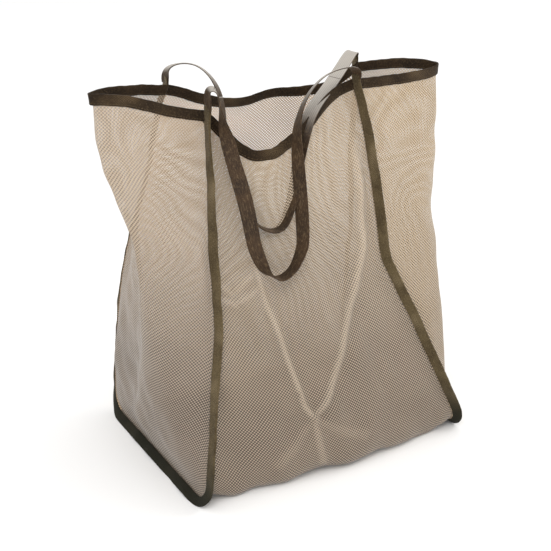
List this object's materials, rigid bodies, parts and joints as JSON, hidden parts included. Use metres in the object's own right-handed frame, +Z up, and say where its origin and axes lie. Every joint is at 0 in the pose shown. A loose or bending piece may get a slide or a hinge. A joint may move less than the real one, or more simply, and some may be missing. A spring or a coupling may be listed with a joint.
{
  "type": "mesh laundry bag",
  "caption": "Open-topped see-through mesh carry bag with tape-bound seams and rim, folded side gussets, a flat bottom and long webbing handles that swing.",
  "frame": {"origin": "on the floor at the centre of the flat underside", "axes": "+Z up, -Y towards the front panel, +X towards the bag's right gusset as seen from the front"},
  "size_m": [0.501, 0.2946, 0.5074],
  "materials": {
    "mesh": "open beige monofilament mesh, see-through, slight sheen",
    "tape": "dark taupe woven binding tape, matt",
    "webbing": "dark taupe ribbed webbing with a slight sheen"
  },
  "bodies": {
    "bag": {"main_panel": "mesh", "left_gusset": "mesh", "right_gusset": "mesh", "left_seam_binding": "tape", "right_seam_binding": "tape", "front_rim_binding": "tape", "back_rim_binding": "tape", "left_rim_binding": "tape", "right_rim_binding": "tape"},
    "front_handle": {"front_handle": "webbing"},
    "back_handle_span": {"back_handle_left": "webbing", "back_handle_right": "webbing"},
    "back_handle_drape": {"back_handle_loop": "webbing"}
  },
  "joints": [
    {"name": "front_handle_swing", "type": "hinge", "parent": "bag", "child": "front_handle", "pos_m": [0, -0.01, 0.478], "axis": [-1, 0, 0], "range_deg": [0, 152]},
    {"name": "back_handle_swing", "type": "hinge", "parent": "bag", "child": "back_handle_span", "pos_m": [0, 0.044, 0.49], "axis": [-1, 0, 0], "range_deg": [0, 100]},
    {"name": "back_handle_unfold", "type": "hinge", "parent": "back_handle_span", "child": "back_handle_drape", "pos_m": [0, -0.024, 0.451], "axis": [-1, 0, 0], "range_deg": [0, 86]}
  ],
  "couplings": [
    {"joint": "back_handle_unfold", "follows": "back_handle_swing", "ratio": 0.85}
  ]
}
